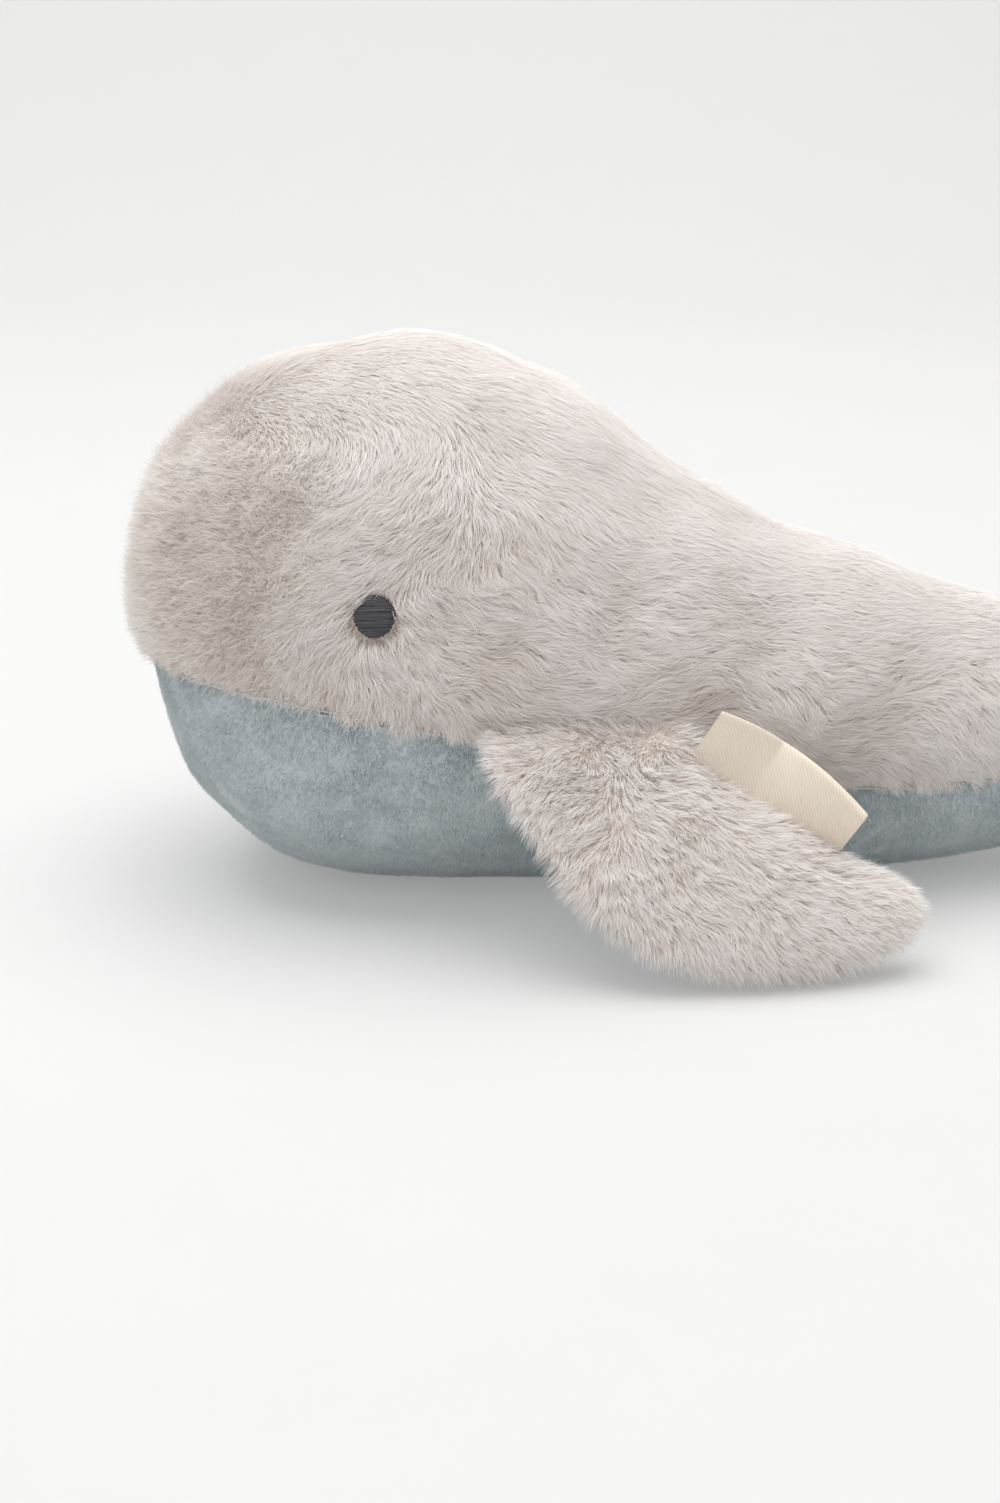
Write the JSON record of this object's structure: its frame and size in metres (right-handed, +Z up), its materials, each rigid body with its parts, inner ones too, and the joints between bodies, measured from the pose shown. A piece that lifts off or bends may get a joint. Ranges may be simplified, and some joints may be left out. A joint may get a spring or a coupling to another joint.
{
  "type": "plush whale",
  "caption": "Stuffed whale toy with a long-pile back, short-pile belly, two hinged side flippers, a hinged tail fluke, stitched eyes and a folded ribbon label.",
  "frame": {"origin": "middle of the flat patch that the belly rests on", "axes": "+X from nose to tail, +Z up, the whale's left side faces -Y"},
  "size_m": [0.3731, 0.2148, 0.1551],
  "materials": {
    "fur": "long pile, warm light grey",
    "minky": "short pile, grey-blue",
    "filling": "loose polyester fibre",
    "stitching": "satin stitch",
    "stabiliser": "non-woven backing",
    "thread": "spun thread",
    "ribbon": "woven twill ribbon"
  },
  "bodies": {
    "body": {"back_panel_left": "fur", "back_panel_right": "fur", "belly_panel": "minky", "body_filling": "filling", "eye_stitches_left": "stitching", "eye_stitches_right": "stitching", "eye_backing_left": "stabiliser", "eye_backing_right": "stabiliser", "side_seam_thread_left": "thread", "side_seam_thread_right": "thread", "dorsal_seam_thread": "thread"},
    "flipper_left": {"flipper_top_left": "fur", "flipper_underside_left": "minky", "flipper_filling_left": "filling", "ribbon_label": "ribbon"},
    "flipper_right": {"flipper_top_right": "fur", "flipper_underside_right": "minky", "flipper_filling_right": "filling"},
    "fluke": {"fluke_top": "fur", "fluke_underside": "minky", "fluke_filling": "filling"}
  },
  "joints": [
    {"name": "flipper_root_left", "type": "hinge", "parent": "body", "child": "flipper_left", "pos_m": [0.02533, -0.07604, 0.05215], "axis": [-0.9811, -0.1896, 0.0398], "range_deg": [-12, 45], "stiffness_Nm_per_rad": 0.06},
    {"name": "flipper_root_right", "type": "hinge", "parent": "body", "child": "flipper_right", "pos_m": [0.02533, 0.07604, 0.05215], "axis": [0.9811, -0.1896, -0.0398], "range_deg": [-12, 45], "stiffness_Nm_per_rad": 0.06},
    {"name": "tail_root", "type": "hinge", "parent": "body", "child": "fluke", "pos_m": [0.202, 0, 0.04362], "axis": [0, -1, 0], "range_deg": [-30, 30], "stiffness_Nm_per_rad": 0.12}
  ]
}
